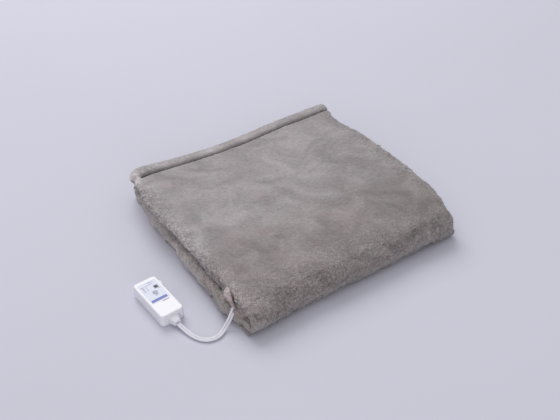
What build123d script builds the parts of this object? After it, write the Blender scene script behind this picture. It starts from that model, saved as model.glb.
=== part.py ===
from build123d import *
import math
import os

# A folded electric heated throw with its hand controller, in millimetres.
# +X runs to the right along the front fold, +Y runs back to the hem, +Z is up.
# The origin is the centre of the throw's flat underside.
# The throw lies folded in half (crease on the right) and then in thirds, like a letter:
# bottom panel, back fold, inner panel in the middle, front fold and top panel.

# ---- Driving dimensions: the folded throw ----
LEFT_X = -237.0          # left edge, where the doubled cloth is open
RIGHT_X = 237.0          # right edge, the crease of the half fold
BAND = 18.0              # thickness of the doubled cloth
FRONT_AXIS_Y = -201.0    # centre line of the front fold
FRONT_AXIS_Z = 32.5
BACK_AXIS_Y = 200.0      # centre line of the back fold
BACK_AXIS_Z = 19.0
INNER_PANEL_Z = 20.0     # underside of the inner panel
TOP_PANEL_Z = 47.0       # underside of the top panel
INNER_PANEL_END_Y = -136.0
TOP_PANEL_END_Y = 192.7  # the stitch line in front of the rolled hem

# Layers of the band, as depths from its outer face
FACE_PLY = 3.7           # plush face cloth with its pile
BACK_PLY_TOP = 5.9       # back cloth, beyond the wire channel
BACK_PLY_END = 8.5
SEAM_WIDTH = 3.8         # bound edge on the open left side
SEAM_FILLET = 3.0
CLEAR = 0.2              # gap between neighbouring soft pieces

# Heating wire
WIRE_D = 2.0
WIRE_DEPTH = 4.8         # depth of the wire's centre in its channel
WIRE_RUNS = 6            # lengthwise runs in each layer
WIRE_FIRST_X = -200.0
WIRE_PITCH = 78.0
TOP_TURN_Y = 150.0       # where the runs turn back near each free end
INNER_TURN_Y = -92.0

# Hems across the two free ends
ROLLED_HEM_DEPTH = 28.0
ROLLED_HEM_HEIGHT = 18.4
ROLLED_HEM_END_Y = 221.0
ROLLED_HEM_Z = 55.5
INNER_HEM_DEPTH = 12.0
HEM_LEFT_X = -236.0
HEM_RIGHT_X = 232.0
HEM_END_FILLET = 4.0

# Connector inside the front fold, where the leads meet the heating wire
BLOCK_SIZE = (40.0, 24.0, 16.0)
BLOCK_CENTRE = (-180.0, -162.0, 28.0)
PROTECTOR_D = 8.0
PROTECTOR_LENGTH = 24.0
GLAND_D = 9.0
GLAND_LENGTH = 10.0
SLEEVE_ROOT = (-209.0, -159.5, 41.5)
SLEEVE_TIP = (-228.5, -178.0, 33.0)
SLEEVE_ROOT_RADII = (8.0, 4.3)
SLEEVE_TIP_RADII = (5.2, 3.6)

# ---- Driving dimensions: the hand controller, in its own frame ----
# The cord leaves towards the controller's -y, the slide knob is on its +x side.
CASE_CENTRE = (-315.0, -76.5)
CASE_YAW = 3.55
CASE_LENGTH = 95.0
CASE_WIDTH = 43.0
CASE_HEIGHT = 23.0
CASE_SPLIT_Z = 9.0
CASE_WALL = 2.0
CASE_CORNER = 6.5
CASE_TOP_FILLET = 2.5
CASE_BOTTOM_FILLET = 1.6

SCREW_X = 15.2
SCREW_Y = 41.0
BOSS_D = 7.6
SCREW_D = 2.9
SCREW_HEAD_D = 5.4
HEAD_RECESS_D = 5.8
HEAD_RECESS_DEPTH = 2.6

SLIDE_Y = 29.5           # slide knob at its off position
SLIDE_TRAVEL = 24.0
SLIDE_Z = 16.0
SLOT_HEIGHT = 5.0
STEM = (6.0, 4.0)        # along the slot and across it
GRIP = (10.0, 6.5, 2.7)  # length, height and how far it stands out

BUTTON_X = 1.0
BUTTON_Y = 9.5
BUTTON_D = 8.6
BUTTON_TRAVEL = 0.8
LAMP_X = 9.0
LAMP_Y = 21.5
LENS_WIDTH = 6.8
LABEL_WIDTH = 34.0
LABEL_TOP_Y = 39.5
LABEL_BOTTOM_Y = -12.5
LABEL_THICKNESS = 0.25
FIT = 0.2                # gap round moving and inserted pieces

BOARD_Z = 5.0
BOARD = (34.0, 71.0, 1.6)

BUSH_ROOT = (20.0, 16.0)
BUSH_TIP = (12.0, 9.0)
BUSH_LENGTH = 13.0
BUSH_Z = 9.0
NECK = (12.0, 10.0)
FLANGE = (16.0, 13.0)
FLANGE_DEPTH = 2.5

# Control cord: a flat two-core lead, drawn as a plain tube of about the same section.
# It leaves the bush, lies on the floor in a U and climbs to the sleeve.
CORD_D = 6.0
CORD_ROUTE = [
    (-311.2, -136.9, 8.5),
    (-308.0, -151.0, 4.6),
    (-302.5, -173.0, 3.1),
    (-290.0, -191.0, 3.1),
    (-269.0, -195.5, 3.1),
    (-253.5, -186.0, 4.0),
    (-241.2, -184.0, 17.4),
    SLEEVE_TIP,
]

os.makedirs("parts", exist_ok=True)


def save(name, *shapes):
    """Write one node: every solid of the given shapes, apart from each other."""
    solids = [solid for shape in shapes for solid in shape.solids()]
    node = solids[0] if len(solids) == 1 else Compound(children=solids)
    export_step(node, f"parts/{name}.step")


def box(x_range, y_range, z_range):
    """A block between two limits along each axis."""
    ranges = (x_range, y_range, z_range)
    centre = [(low + high) / 2 for low, high in ranges]
    return Pos(*centre) * Box(*[high - low for low, high in ranges])


# ---- The throw ----
# A profile is drawn on XZ with the band's underside at z = 0. Plane.XZ faces -Y.

def band_outline(depth):
    """The doubled cloth seen from the front, shrunk by a depth from its outer face."""
    left = LEFT_X + SEAM_WIDTH + CLEAR
    nose_x = RIGHT_X - BAND / 2
    half = BAND / 2 - depth
    flat = Pos((left + nose_x) / 2, BAND / 2) * Rectangle(nose_x - left, 2 * half)
    return Plane.XZ * (flat + Pos(nose_x, BAND / 2) * Circle(half))


def seam_outline():
    """The two bound edges, one for each layer, rounded on the outside."""
    edges = []
    for low in (0.0, BAND - BACK_PLY_END):
        strip = Pos(LEFT_X + SEAM_WIDTH / 2, low + BACK_PLY_END / 2) * Rectangle(SEAM_WIDTH, BACK_PLY_END)
        outer_corners = strip.vertices().group_by(Axis.X)[0]
        edges.append(Plane.XZ * fillet(outer_corners, SEAM_FILLET))
    return edges


def wire_outlines():
    """A round wire section for each run, in the lower and the upper layer."""
    sections = []
    for depth in (WIRE_DEPTH, BAND - WIRE_DEPTH):
        for run in range(WIRE_RUNS):
            x = WIRE_FIRST_X + run * WIRE_PITCH
            sections.append(Plane.XZ * (Pos(x, depth) * Circle(WIRE_D / 2)))
    return sections


def panel(profile, low_y, high_y, z):
    """A flat panel of the band between two places along Y."""
    return Pos(0, high_y, z) * extrude(profile, amount=high_y - low_y)


def fold(profile, axis_y, axis_z, towards):
    """A half turn of the band from the bottom panel's level, towards +Y (1) or -Y (-1)."""
    axis = Axis((0, axis_y, axis_z), (towards, 0, 0))
    return revolve(Pos(0, axis_y, 0) * profile, axis, 180)


def wire_turn(run, depth, turn_y, z, towards):
    """The half turn that joins a run to the next one at a free end."""
    x = WIRE_FIRST_X + run * WIRE_PITCH
    section = Pos(x, turn_y, z + depth) * (Plane.XZ * Circle(WIRE_D / 2))
    axis = Axis((x + WIRE_PITCH / 2, turn_y, 0), (0, 0, -towards))
    return revolve(section, axis, 180)


def wire_panel(low_y, high_y, z, turn_y, towards, first_turn):
    """Straight runs of wire in a panel, with half turns at its free end."""
    solids = [panel(section, low_y, high_y, z) for section in wire_outlines()]
    for layer, depth in enumerate((WIRE_DEPTH, BAND - WIRE_DEPTH)):
        for run in range(first_turn, WIRE_RUNS - 1, 2):
            here = layer * WIRE_RUNS + run
            joined = solids[here] + wire_turn(run, depth, turn_y, z, towards) + solids[here + 1]
            solids[here] = joined
            solids[here + 1] = None
    return [solid for solid in solids if solid is not None]


FACE = band_outline(0) - band_outline(FACE_PLY)
BACK = band_outline(BACK_PLY_TOP) - band_outline(BACK_PLY_END)

PANELS = {
    "bottom_panel": (FRONT_AXIS_Y, BACK_AXIS_Y, 0.0),
    "inner_panel": (INNER_PANEL_END_Y, BACK_AXIS_Y, INNER_PANEL_Z),
    "top_panel": (FRONT_AXIS_Y, TOP_PANEL_END_Y, TOP_PANEL_Z),
}
FOLDS = {
    "back_fold": (BACK_AXIS_Y, BACK_AXIS_Z, 1),
    "front_fold": (FRONT_AXIS_Y, FRONT_AXIS_Z, -1),
}

for name, place in PANELS.items():
    save(f"{name}_face_cloth", panel(FACE, *place))
    save(f"{name}_back_cloth", panel(BACK, *place))
    save(f"{name}_edge_seams", *[panel(edge, *place) for edge in seam_outline()])

for name, place in FOLDS.items():
    save(f"{name}_face_cloth", fold(FACE, *place))
    save(f"{name}_back_cloth", fold(BACK, *place))
    save(f"{name}_edge_seams", *[fold(edge, *place) for edge in seam_outline()])
    save(f"{name}_heating_wire", *[fold(section, *place) for section in wire_outlines()])

save("bottom_panel_heating_wire",
     *[panel(section, *PANELS["bottom_panel"]) for section in wire_outlines()])
save("inner_panel_heating_wire",
     *wire_panel(INNER_TURN_Y, BACK_AXIS_Y, INNER_PANEL_Z, INNER_TURN_Y, -1, first_turn=1))
save("top_panel_heating_wire",
     *wire_panel(FRONT_AXIS_Y, TOP_TURN_Y, TOP_PANEL_Z, TOP_TURN_Y, 1, first_turn=0))


def hem(depth, height, centre_y, centre_z):
    """A rolled edge across the throw, rounded all along and at both ends."""
    outline = Plane.YZ * RectangleRounded(depth, height, min(depth, height) / 2 - 0.1)
    roll = extrude(outline, amount=HEM_RIGHT_X - HEM_LEFT_X)
    ends = roll.faces().filter_by(Axis.X).edges()
    return Pos(HEM_LEFT_X, centre_y, centre_z) * fillet(ends, HEM_END_FILLET)


save("rolled_hem", hem(ROLLED_HEM_DEPTH, ROLLED_HEM_HEIGHT,
                       ROLLED_HEM_END_Y - ROLLED_HEM_DEPTH / 2, ROLLED_HEM_Z))
save("inner_hem", hem(INNER_HEM_DEPTH - CLEAR, BAND,
                      INNER_PANEL_END_Y - CLEAR - INNER_HEM_DEPTH / 2, INNER_PANEL_Z + BAND / 2))

# ---- Connector and sleeve, in the hollow of the front fold ----
block = fillet(Box(*BLOCK_SIZE).edges(), 2.5)
save("connector_block", Pos(*BLOCK_CENTRE) * block)
protector_x = BLOCK_CENTRE[0] + BLOCK_SIZE[0] / 2 + 10 + PROTECTOR_LENGTH / 2
protector = Rot(0, 90, 0) * Cylinder(PROTECTOR_D / 2, PROTECTOR_LENGTH)
save("overheat_protector", Pos(protector_x, *BLOCK_CENTRE[1:]) * protector)
gland_y = BLOCK_CENTRE[1] - BLOCK_SIZE[1] / 2 - GLAND_LENGTH / 2
gland = Rot(90, 0, 0) * Cylinder(GLAND_D / 2, GLAND_LENGTH)
save("mains_lead_gland", Pos(BLOCK_CENTRE[0] + 6, gland_y, BLOCK_CENTRE[2]) * gland)

sleeve_axis = Vector(*SLEEVE_TIP) - Vector(*SLEEVE_ROOT)
sleeve_side = sleeve_axis.cross(Vector(0, 0, 1))
root_plane = Plane(SLEEVE_ROOT, x_dir=sleeve_side, z_dir=sleeve_axis)
tip_plane = Plane(SLEEVE_TIP, x_dir=sleeve_side, z_dir=sleeve_axis)
save("cord_sleeve", loft([root_plane * Ellipse(*SLEEVE_ROOT_RADII),
                          tip_plane * Ellipse(*SLEEVE_TIP_RADII)]))

# ---- Hand controller ----
CASE_PLACE = Pos(*CASE_CENTRE, 0) * Rot(0, 0, CASE_YAW)
HALF_LENGTH = CASE_LENGTH / 2
HALF_WIDTH = CASE_WIDTH / 2
INNER_END = HALF_LENGTH - CASE_WALL
INNER_SIDE = HALF_WIDTH - CASE_WALL
ROOF_Z = CASE_HEIGHT - CASE_WALL
BOARD_TOP = BOARD_Z + BOARD[2]
SCREW_PLACES = [(x, y) for x in (-SCREW_X, SCREW_X) for y in (-SCREW_Y, SCREW_Y)]


def save_in_case(name, *shapes):
    """Write a node drawn in the controller's frame."""
    save(name, *[CASE_PLACE * shape for shape in shapes])


def rounded_block(width, length, low_z, high_z, corner):
    return Pos(0, 0, low_z) * extrude(RectangleRounded(width, length, corner), amount=high_z - low_z)


def post(x, y, diameter, low_z, high_z):
    """An upright round post or hole."""
    return Pos(x, y, (low_z + high_z) / 2) * Cylinder(diameter / 2, high_z - low_z)


neck_hole = box((-NECK[0] / 2, NECK[0] / 2), (-HALF_LENGTH - 1, -INNER_END + 1),
                (BUSH_Z - NECK[1] / 2, BUSH_Z + NECK[1] / 2))

lower = rounded_block(CASE_WIDTH, CASE_LENGTH, 0, CASE_SPLIT_Z, CASE_CORNER)
lower = fillet(lower.faces().sort_by(Axis.Z)[0].edges(), CASE_BOTTOM_FILLET)
lower -= rounded_block(2 * INNER_SIDE, 2 * INNER_END, CASE_WALL, CASE_SPLIT_Z + 1, CASE_CORNER - CASE_WALL)
for x, y in SCREW_PLACES:
    lower += post(x, y, BOSS_D, CASE_WALL / 2, CASE_SPLIT_Z)
    lower -= post(x, y, SCREW_D + 2 * FIT, 0, CASE_SPLIT_Z + 1)
    lower -= post(x, y, HEAD_RECESS_D, -1, HEAD_RECESS_DEPTH)
for x in (-13, 13):
    for y in (-30, 30):
        lower += post(x, y, 4, CASE_WALL / 2, BOARD_Z)
lower -= neck_hole
save_in_case("controller_lower_case", lower)

upper = rounded_block(CASE_WIDTH, CASE_LENGTH, CASE_SPLIT_Z, CASE_HEIGHT, CASE_CORNER)
upper = fillet(upper.faces().sort_by(Axis.Z)[-1].edges(), CASE_TOP_FILLET)
upper -= rounded_block(2 * INNER_SIDE, 2 * INNER_END, CASE_SPLIT_Z - 1, ROOF_Z, CASE_CORNER - CASE_WALL)
for x, y in SCREW_PLACES:
    upper += post(x, y, BOSS_D, CASE_SPLIT_Z, ROOF_Z + CASE_WALL / 2)
    upper -= post(x, y, SCREW_D + 0.05, CASE_SPLIT_Z - 1, CASE_SPLIT_Z + 9)
slot_y = (SLIDE_Y - SLIDE_TRAVEL - STEM[0] / 2 - 0.5, SLIDE_Y + STEM[0] / 2 + 0.5)
slot_z = (SLIDE_Z - SLOT_HEIGHT / 2, SLIDE_Z + SLOT_HEIGHT / 2)
upper -= box((INNER_SIDE - 1, HALF_WIDTH + 1), slot_y, slot_z)
upper -= post(BUTTON_X, BUTTON_Y, BUTTON_D + 2 * FIT, ROOF_Z - 1, CASE_HEIGHT + 1)
lens_hole = LENS_WIDTH / 2 + FIT / 2
upper -= box((LAMP_X - lens_hole, LAMP_X + lens_hole), (LAMP_Y - lens_hole, LAMP_Y + lens_hole),
             (ROOF_Z - 1, CASE_HEIGHT + 1))
upper -= neck_hole
save_in_case("controller_upper_case", upper)

label = Pos(0, (LABEL_TOP_Y + LABEL_BOTTOM_Y) / 2) * RectangleRounded(
    LABEL_WIDTH, LABEL_TOP_Y - LABEL_BOTTOM_Y, 2)
label -= Pos(BUTTON_X, BUTTON_Y) * Circle(BUTTON_D / 2 + 2 * FIT)
label -= Pos(LAMP_X, LAMP_Y) * Rectangle(LENS_WIDTH + 4 * FIT, LENS_WIDTH + 4 * FIT)
save_in_case("face_label", Pos(0, 0, CASE_HEIGHT) * extrude(label, amount=LABEL_THICKNESS))

# Slide control: the knob outside, its carriage inside and the switch on the board
carriage_face = INNER_SIDE - 0.3
grip = box((HALF_WIDTH + FIT, HALF_WIDTH + FIT + GRIP[2]),
           (SLIDE_Y - GRIP[0] / 2, SLIDE_Y + GRIP[0] / 2), (SLIDE_Z - GRIP[1] / 2, SLIDE_Z + GRIP[1] / 2))
grip = fillet(grip.faces().sort_by(Axis.X)[-1].edges(), 0.9)
stem = box((carriage_face, HALF_WIDTH + FIT), (SLIDE_Y - STEM[0] / 2, SLIDE_Y + STEM[0] / 2),
           (SLIDE_Z - STEM[1] / 2, SLIDE_Z + STEM[1] / 2))
save_in_case("slide_knob", grip + stem)
save_in_case("slide_carriage", box((14, carriage_face), (SLIDE_Y - 5, SLIDE_Y + 5), (13.2, 19)))
switch_y = (SLIDE_Y - SLIDE_TRAVEL - 6.5, SLIDE_Y + 6)
save_in_case("slide_switch_body", box((13, 17), switch_y, (BOARD_TOP, 13)))

# Timer button and its switch
button = post(BUTTON_X, BUTTON_Y, BUTTON_D, 17, CASE_HEIGHT + 0.8)
button = fillet(button.edges().sort_by(Axis.Z)[-1], 0.5)
button += post(BUTTON_X, BUTTON_Y, BUTTON_D + 2.4, 17, 18.4)
save_in_case("timer_button", button)
save_in_case("button_switch", box((BUTTON_X - 3, BUTTON_X + 3), (BUTTON_Y - 3, BUTTON_Y + 3), (BOARD_TOP, 12))
             + post(BUTTON_X, BUTTON_Y, 3, 12, 17 - BUTTON_TRAVEL - 0.1))

# Pilot lamp behind a square lens
lens_half = LENS_WIDTH / 2
lens = box((LAMP_X - lens_half, LAMP_X + lens_half), (LAMP_Y - lens_half, LAMP_Y + lens_half),
           (ROOF_Z - 1, CASE_HEIGHT + 0.35))
lens += box((LAMP_X - 4.3, LAMP_X + 4.3), (LAMP_Y - 4.3, LAMP_Y + 4.3), (ROOF_Z - 1, ROOF_Z))
save_in_case("pilot_lamp_lens", lens)
save_in_case("pilot_lamp", post(LAMP_X, LAMP_Y, 5, BOARD_TOP, 17)
             + Pos(LAMP_X, LAMP_Y, 17) * Sphere(2.5))

# Circuit board and what stands on it
save_in_case("circuit_board", box((-BOARD[0] / 2, BOARD[0] / 2), (-BOARD[1] / 2, BOARD[1] / 2),
                                  (BOARD_Z, BOARD_TOP)))
save_in_case("triac", box((-15, -5), (-24, -15), (BOARD_TOP, 11.1))
             + box((-15, -5), (-15, -9), (BOARD_TOP, BOARD_TOP + 1.3)))
save_in_case("capacitor", fillet(box((-1, 8), (-24, -6), (BOARD_TOP, 17)).edges(), 0.8))
save_in_case("fuse", Pos(-12, 4, BOARD_TOP + 2.8) * (Rot(90, 0, 0) * Cylinder(2.6, 20)))
save_in_case("control_chip", box((-13, -6), (19, 29), (BOARD_TOP, BOARD_TOP + 1.8)))
save_in_case("terminal_block", box((-8, 8), (-34.5, -26.5), (BOARD_TOP, 14.5))
             - post(-4, -30.5, 3, 10, 15) - post(4, -30.5, 3, 10, 15))

# Screws, from below
screws = []
for x, y in SCREW_PLACES:
    head = post(x, y, SCREW_HEAD_D, 0.6, HEAD_RECESS_DEPTH)
    screws.append(head + post(x, y, SCREW_D, HEAD_RECESS_DEPTH, CASE_SPLIT_Z + 8))
save_in_case("case_screws", *screws)

# Cord bush: a cone outside the wall, a neck in it and a flange behind it
root_y = -HALF_LENGTH
bush = loft([
    Plane((0, root_y, BUSH_Z), x_dir=(1, 0, 0), z_dir=(0, -1, 0)) * RectangleRounded(*BUSH_ROOT, 4),
    Plane((0, root_y - BUSH_LENGTH, BUSH_Z), x_dir=(1, 0, 0), z_dir=(0, -1, 0))
    * RectangleRounded(*BUSH_TIP, 4),
])
bush += box((-NECK[0] / 2, NECK[0] / 2), (root_y, -INNER_END), (BUSH_Z - NECK[1] / 2, BUSH_Z + NECK[1] / 2))
bush += box((-FLANGE[0] / 2, FLANGE[0] / 2), (-INNER_END, -INNER_END + FLANGE_DEPTH),
            (BUSH_Z - FLANGE[1] / 2, BUSH_Z + FLANGE[1] / 2))
save_in_case("cord_bush", bush)
save_in_case("cord_clamp", box((-8, 8), (-42, -38.5), (8, 11)))

# ---- Control cord ----
points = [Vector(*point) for point in CORD_ROUTE]
runs = [(end - start).length for start, end in zip(points, points[1:])]
radii = []
for index in range(1, len(points) - 1):
    turn = (points[index] - points[index - 1]).get_angle(points[index + 1] - points[index])
    shorter = min(runs[index - 1], runs[index])
    radii.append(0.45 * shorter / math.tan(math.radians(turn / 2)))
path = FilletPolyline(*points, radius=radii)
section = Plane(path @ 0, z_dir=path % 0) * Circle(CORD_D / 2)
cord = sweep(section, path)
save("control_cord", cord)
print("cord radii, mm:", [round(radius, 1) for radius in radii])
print("cord length, mm:", round(path.length, 1))
print("cord volume over section times length:",
      round(cord.volume / (math.pi * CORD_D ** 2 / 4 * path.length), 4))
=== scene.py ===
import math

import bpy
from mathutils import Matrix, Vector, noise


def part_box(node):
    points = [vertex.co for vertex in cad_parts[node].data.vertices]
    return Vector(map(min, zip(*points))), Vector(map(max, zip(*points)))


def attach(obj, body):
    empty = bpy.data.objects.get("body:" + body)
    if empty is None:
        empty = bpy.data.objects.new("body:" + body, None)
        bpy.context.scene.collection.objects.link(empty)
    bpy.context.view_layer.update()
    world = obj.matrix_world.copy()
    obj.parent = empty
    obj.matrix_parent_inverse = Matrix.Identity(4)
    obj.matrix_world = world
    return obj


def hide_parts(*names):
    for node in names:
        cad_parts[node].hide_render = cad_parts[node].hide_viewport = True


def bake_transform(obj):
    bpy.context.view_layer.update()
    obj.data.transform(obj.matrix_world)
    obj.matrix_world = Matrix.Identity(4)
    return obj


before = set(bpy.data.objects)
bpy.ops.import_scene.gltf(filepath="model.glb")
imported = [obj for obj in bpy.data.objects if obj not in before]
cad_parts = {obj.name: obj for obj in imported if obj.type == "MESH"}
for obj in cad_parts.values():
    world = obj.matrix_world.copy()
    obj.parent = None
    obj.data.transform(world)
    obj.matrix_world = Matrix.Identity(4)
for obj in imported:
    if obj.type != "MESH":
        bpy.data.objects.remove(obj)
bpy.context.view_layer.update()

# A folded plush heated throw with its hand controller, in metres, in the part's own frame:
# +X to the right along the front fold, +Y back to the rolled hem, +Z up.
MM = 0.001
BASE = "throw_base"
FLAP = "top_flap"

# ---- The throw's shape, read from the frame ----
BOTTOM_LOW, BOTTOM_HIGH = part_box("bottom_panel_face_cloth")
TOP_LOW, TOP_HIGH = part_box("top_panel_face_cloth")
INNER_LOW, INNER_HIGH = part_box("inner_panel_face_cloth")
HEM_LOW, HEM_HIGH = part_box("rolled_hem")
HALF_BAND = (BOTTOM_HIGH.z - BOTTOM_LOW.z) / 2
LEFT_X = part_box("bottom_panel_edge_seams")[0].x
RIGHT_X = BOTTOM_HIGH.x
FRONT_Y = BOTTOM_LOW.y
BACK_Y = BOTTOM_HIGH.y
STITCH_Y = TOP_HIGH.y
FRONT_FOLD_Z = (BOTTOM_LOW.z + TOP_HIGH.z) / 2
FRONT_FOLD_R = FRONT_FOLD_Z - HALF_BAND
BACK_FOLD_Z = (BOTTOM_LOW.z + INNER_HIGH.z) / 2
BACK_FOLD_R = BACK_FOLD_Z - HALF_BAND
INNER_END_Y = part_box("inner_hem")[0].y

# The pile is brushed one way across the throw, to the right and forward
NAP_TURN = math.radians(34)
NAP = Vector((math.cos(NAP_TURN), -math.sin(NAP_TURN), 0))
NAP_SIDE = Vector((-NAP.y, NAP.x, 0))

# What the cloth's mesh keeps for its material, as (kind, field, numbers for each point)
# The mesh layer for the pile's painted light and shade, with its tint
PILE_PAINTED_SHADE_AND_TINT = "pile_painted_shade_and_tint"
PILE_OPEN = "pile_open"
PILE_LAYERS = {
    PILE_PAINTED_SHADE_AND_TINT: ("FLOAT_VECTOR", "vector", 3),
    PILE_OPEN: ("FLOAT", "value", 1),
}


# ---- Small helpers ----
def mix(a, b, t):
    return a + (b - a) * t


def smooth(t):
    t = min(1.0, max(0.0, t))
    return t * t * (3 - 2 * t)


def ramp(value, start, end):
    """0 before start, 1 past end, smooth between them, in either direction."""
    return smooth((value - start) / (end - start))


def hump(value, centre, width):
    """A soft bump of height 1."""
    return math.exp(-((value - centre) / width) ** 2)


def squared(value, power):
    """A sine or cosine that makes a ring squarer, the more the lower the power is."""
    return math.copysign(abs(value) ** power, value)


def new_object(name, vertices, faces, material, smooth_shaded=True):
    """A mesh object in the scene, with one material."""
    mesh = bpy.data.meshes.new(name)
    mesh.from_pydata([tuple(v) for v in vertices], [], faces)
    mesh.validate()
    mesh.update()
    if smooth_shaded:
        mesh.polygons.foreach_set("use_smooth", [True] * len(mesh.polygons))
    mesh.materials.append(material)
    piece = bpy.data.objects.new(name, mesh)
    bpy.context.scene.collection.objects.link(piece)
    return piece


def ring_angles(count):
    """The angles of count points evenly round a ring."""
    return [2 * math.pi * k / count for k in range(count)]


def loft_faces(rings, count):
    """Quads between rings of count points each, and a cap at each end."""
    faces = []
    for ring in range(rings - 1):
        here = ring * count
        there = here + count
        for i in range(count):
            j = (i + 1) % count
            faces.append((here + i, here + j, there + j, there + i))
    faces.append(tuple(reversed(range(count))))
    faces.append(tuple((rings - 1) * count + i for i in range(count)))
    return faces


# ---- Materials ----
def grey(value):
    return (value, value, value)


def tinted(colour, tint):
    return [c * t for c, t in zip(colour, tint)]


def node_material(name):
    """A new material with its nodes, its links and its shader."""
    material = bpy.data.materials.new(name)
    material.use_nodes = True
    nodes = material.node_tree.nodes
    shader = nodes["Principled BSDF"]
    return material, nodes, material.node_tree.links, shader


def stretched_noise(nodes, links, scale, stretch, detail=2.0, roughness=0.5, turn=0.0, distortion=0.0):
    """Noise in the object's own space, stretched along a direction turned about Z."""
    coordinates = nodes.new("ShaderNodeTexCoord")
    mapping = nodes.new("ShaderNodeMapping")
    mapping.vector_type = "TEXTURE"
    mapping.inputs["Rotation"].default_value = (0, 0, turn)
    mapping.inputs["Scale"].default_value = stretch
    texture = nodes.new("ShaderNodeTexNoise")
    texture.inputs["Scale"].default_value = scale
    texture.inputs["Detail"].default_value = detail
    texture.inputs["Roughness"].default_value = roughness
    texture.inputs["Distortion"].default_value = distortion
    links.new(coordinates.outputs["Object"], mapping.inputs["Vector"])
    links.new(mapping.outputs["Vector"], texture.inputs["Vector"])
    return texture


def colour_ramp(nodes, links, source, stops):
    """Colours by a 0 to 1 value, through stops of (value, colour)."""
    made = nodes.new("ShaderNodeValToRGB")
    elements = made.color_ramp.elements
    while len(elements) < len(stops):
        elements.new(0.5)
    for element, (position, colour) in zip(elements, stops):
        element.position = position
        element.color = (*colour, 1)
    links.new(source, made.inputs["Fac"])
    return made


def multiply(nodes, links, first, second, factor=None):
    """The first colour times the second, in full or by a linked factor."""
    made = nodes.new("ShaderNodeMix")
    made.data_type = "RGBA"
    made.blend_type = "MULTIPLY"
    made.inputs["Factor"].default_value = 1.0
    if factor is not None:
        links.new(factor, made.inputs["Factor"])
    links.new(first, made.inputs["A"])
    links.new(second, made.inputs["B"])
    return made.outputs["Result"]


def bump(nodes, links, height, strength, distance, normal=None, share=None):
    """A bumped normal, on top of another one where given; a linked share stands in for the strength."""
    made = nodes.new("ShaderNodeBump")
    made.inputs["Strength"].default_value = strength
    if share is not None:
        links.new(share, made.inputs["Strength"])
    made.inputs["Distance"].default_value = distance
    links.new(height, made.inputs["Height"])
    if normal is not None:
        links.new(normal, made.inputs["Normal"])
    return made.outputs["Normal"]


def attribute(nodes, name, output):
    """One of the mesh's own layers."""
    made = nodes.new("ShaderNodeAttribute")
    made.attribute_name = name
    return made.outputs[output]


def remap(nodes, links, source, low, high):
    """A 0 to 1 value spread from low to high."""
    made = nodes.new("ShaderNodeMapRange")
    made.inputs["To Min"].default_value = low
    made.inputs["To Max"].default_value = high
    links.new(source, made.inputs["Value"])
    return made.outputs["Result"]


def plush_material(name, light, dark, tint=(1.0, 1.0, 1.0)):
    """Long soft pile: brushed patches, the painted light and shade and the tint that the mesh carries, a
    sheen, and strokes and fibres that stand out more where the pile opens."""
    material, nodes, links, shader = node_material(name)
    opened = attribute(nodes, PILE_OPEN, "Fac")
    patches = stretched_noise(nodes, links, 20, (1.35, 1.0, 1.0), 2.5, 0.5, -NAP_TURN, 0.9)
    tone = colour_ramp(nodes, links, patches.outputs["Fac"],
                       [(0.33, tinted(dark, tint)), (0.66, tinted(light, tint))])
    warmth = stretched_noise(nodes, links, 38, (1.2, 1.0, 1.0), 2.0, 0.5, -NAP_TURN)
    warm_tone = colour_ramp(nodes, links, warmth.outputs["Fac"],
                            [(0.35, (0.985, 1.0, 0.995)), (0.68, (1.03, 0.985, 0.985))])
    colour = multiply(nodes, links, tone.outputs["Color"], warm_tone.outputs["Color"])
    strokes = stretched_noise(nodes, links, 360, (2.3, 1.0, 1.0), 3.0, 0.62, -NAP_TURN, 0.7)
    stroke_tone = colour_ramp(nodes, links, strokes.outputs["Fac"], [(0.32, grey(0.72)), (0.66, grey(1.20))])
    stroke_share = remap(nodes, links, opened, 0.5, 1.0)
    colour = multiply(nodes, links, colour, stroke_tone.outputs["Color"], stroke_share)
    fibres = stretched_noise(nodes, links, 640, (1.6, 1.0, 1.0), 2.0, 0.7, -NAP_TURN, 0.4)
    fibre_tone = colour_ramp(nodes, links, fibres.outputs["Fac"], [(0.35, grey(0.58)), (0.65, grey(1.33))])
    fibre_share = remap(nodes, links, opened, 0.25, 1.0)
    colour = multiply(nodes, links, colour, fibre_tone.outputs["Color"], fibre_share)
    # The pile's painted light and shade and its tint, carried by the mesh
    colour = multiply(nodes, links, colour, attribute(nodes, PILE_PAINTED_SHADE_AND_TINT, "Color"))
    links.new(colour, shader.inputs["Base Color"])
    coarse = bump(nodes, links, strokes.outputs["Fac"], 0.8, 2.0 * MM,
                  share=remap(nodes, links, opened, 0.3, 0.9))
    fine = bump(nodes, links, fibres.outputs["Fac"], 0.7, 1.2 * MM, coarse,
                share=remap(nodes, links, opened, 0.2, 1.0))
    links.new(fine, shader.inputs["Normal"])
    shader.inputs["Roughness"].default_value = 0.95
    shader.inputs["Specular IOR Level"].default_value = 0.12
    shader.inputs["Sheen Weight"].default_value = 0.55
    shader.inputs["Sheen Roughness"].default_value = 0.5
    shader.inputs["Sheen Tint"].default_value = (0.93, 0.91, 0.92, 1)
    return material


def plastic_material(name, colour, roughness=0.4, grain=0.04, grain_scale=1600, spread=0.03, coat=0.0):
    """Moulded plastic with a slight unevenness in colour and gloss and a fine surface grain."""
    material, nodes, links, shader = node_material(name)
    cloud = stretched_noise(nodes, links, 60, (1, 1, 1), 3.0)
    darker = [c * (1 - spread) for c in colour]
    lighter = [min(1, c * (1 + spread)) for c in colour]
    tone = colour_ramp(nodes, links, cloud.outputs["Fac"], [(0.3, darker), (0.7, lighter)])
    links.new(tone.outputs["Color"], shader.inputs["Base Color"])
    gloss = remap(nodes, links, cloud.outputs["Fac"], roughness - 0.05, roughness + 0.07)
    links.new(gloss, shader.inputs["Roughness"])
    texture = stretched_noise(nodes, links, grain_scale, (1, 1, 1), 2.0)
    links.new(bump(nodes, links, texture.outputs["Fac"], grain, 0.15 * MM), shader.inputs["Normal"])
    shader.inputs["Coat Weight"].default_value = coat
    shader.inputs["Coat Roughness"].default_value = 0.15
    return material


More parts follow.
